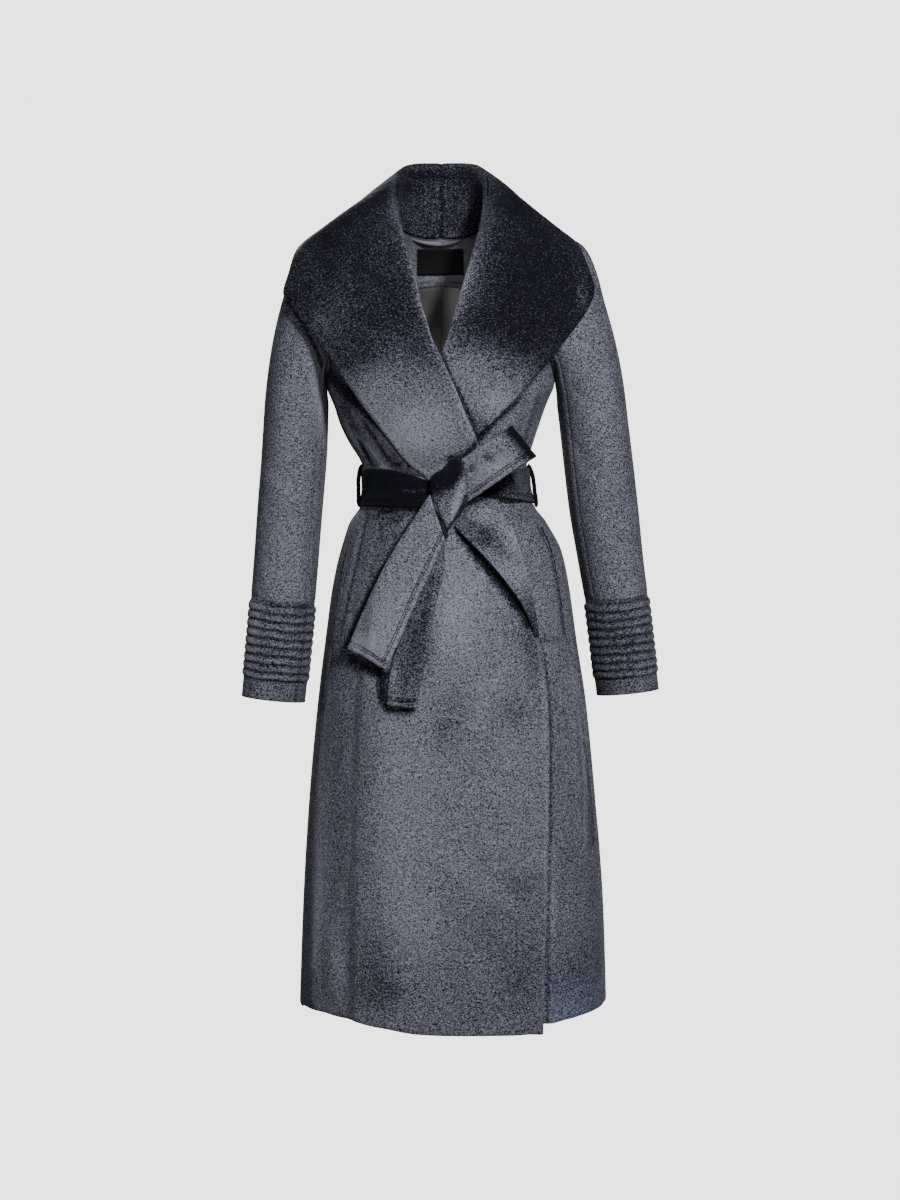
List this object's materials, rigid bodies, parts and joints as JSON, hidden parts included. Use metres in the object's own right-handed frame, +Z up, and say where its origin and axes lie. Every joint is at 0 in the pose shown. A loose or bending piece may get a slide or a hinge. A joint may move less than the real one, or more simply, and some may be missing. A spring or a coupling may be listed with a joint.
{
  "type": "wrap coat",
  "caption": "Long belted wrap coat with a wide shawl collar, ribbed cuffs and a half-bow tie belt, in dark brushed cloth, kept in its worn, hollow form.",
  "frame": {"origin": "between the shoulders, level with the back neck seam, where the wearer's neck and shoulders carry the coat", "axes": "+Z up, -Y out of the front, +X towards the wearer's left"},
  "size_m": [0.58, 0.319, 1.1884],
  "materials": {
    "coat_cloth": "brushed pile",
    "cuff_cloth": "brushed pile over rolled ribs",
    "lining": "smooth satin",
    "label": "woven satin",
    "hanger_satin": "satin cord"
  },
  "bodies": {
    "root": {"back": "coat_cloth", "front_right": "coat_cloth", "front_left": "coat_cloth", "collar_right": "coat_cloth", "collar_left": "coat_cloth", "sleeve_upper_right": "coat_cloth", "sleeve_under_right": "coat_cloth", "sleeve_upper_left": "coat_cloth", "sleeve_under_left": "coat_cloth", "belt_band": "coat_cloth", "belt_knot": "coat_cloth", "belt_loop": "coat_cloth", "belt_tail_front": "coat_cloth", "belt_tail_rear": "coat_cloth", "belt_carrier_right": "coat_cloth", "belt_carrier_left": "coat_cloth", "neck_facing": "coat_cloth", "pocket_welt_right": "coat_cloth", "pocket_welt_left": "coat_cloth", "cuff_right": "cuff_cloth", "cuff_left": "cuff_cloth", "back_lining": "lining", "neck_label": "label", "hanger_loop": "hanger_satin"}
  },
  "joints": []
}
